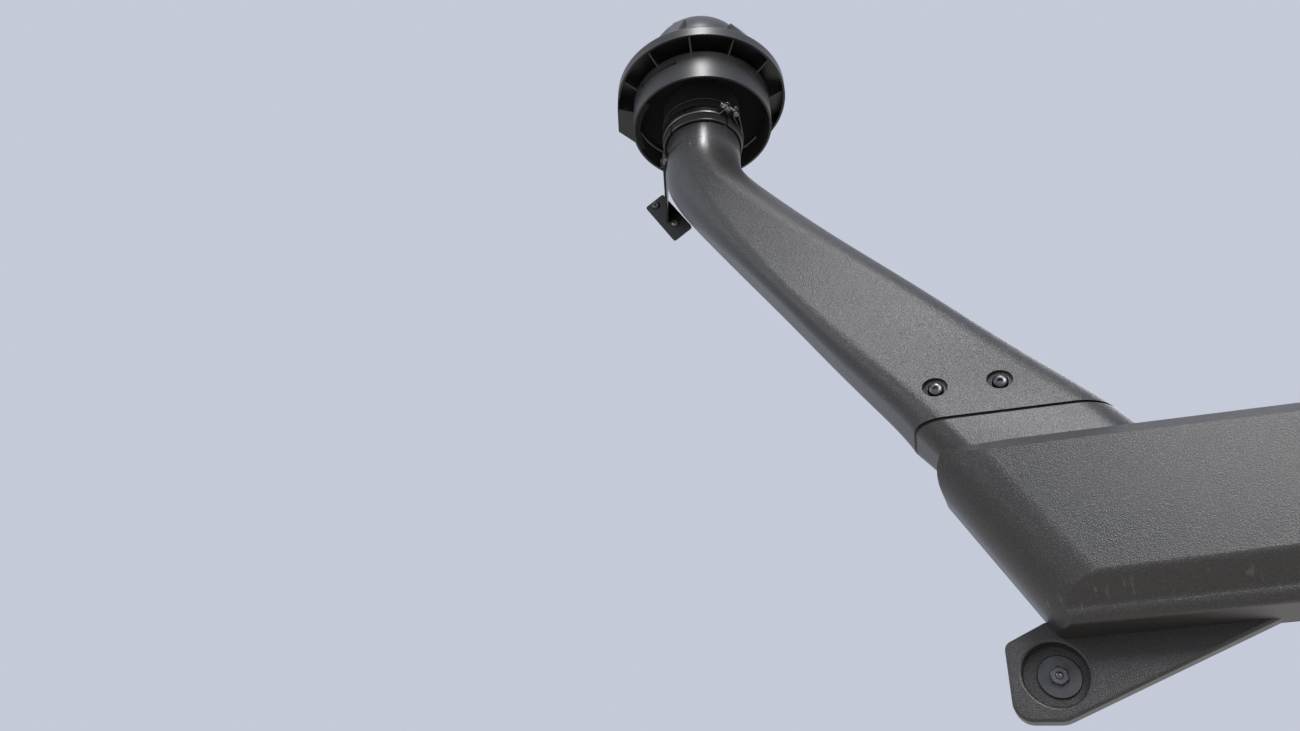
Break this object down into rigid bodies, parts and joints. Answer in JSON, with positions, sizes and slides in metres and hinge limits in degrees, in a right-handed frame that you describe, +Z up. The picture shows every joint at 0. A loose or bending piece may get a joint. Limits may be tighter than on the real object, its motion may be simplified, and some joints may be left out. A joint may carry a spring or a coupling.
{
  "type": "raised air intake",
  "caption": "Raised air intake for an off-road vehicle: hollow wing duct, leaning riser up the windscreen pillar and a round pre-cleaner head that turns on its neck.",
  "frame": {"origin": "axis of the wing bolt, in the plane of the pad's back that lies on the wing", "axes": "+X towards the vehicle's front, +Y inboard through the wing, +Z up"},
  "size_m": [0.775, 0.266, 1.0257],
  "materials": {
    "duct_plastic": "satin black polyethylene with an even fine grain",
    "head_plastic": "satin black moulding with a fine grain",
    "zinc_steel": "plain steel fasteners, slightly dull",
    "coated_steel": "black powder coat",
    "seal_rubber": "matt black",
    "pad_foam": "closed-cell foam"
  },
  "bodies": {
    "intake": {"riser_duct": "duct_plastic", "seam_screws": "zinc_steel", "seam_seal": "seal_rubber", "wing_duct": "duct_plastic", "wing_pad": "pad_foam", "lug_pad": "pad_foam", "wing_bolt": "zinc_steel", "wing_washer": "zinc_steel", "wing_studs": "zinc_steel", "pillar_bracket": "coated_steel", "pillar_screws": "zinc_steel", "boss_screw": "zinc_steel"},
    "head": {"head_drum": "head_plastic", "head_vanes": "head_plastic", "head_cap": "head_plastic", "head_port": "head_plastic", "neck_clamp": "zinc_steel", "clamp_screw": "zinc_steel"}
  },
  "joints": [
    {"name": "head_turn", "type": "hinge", "parent": "intake", "child": "head", "pos_m": [-0.302, 0.05, 0.8], "axis": [0, 0, 1], "continuous": true}
  ]
}
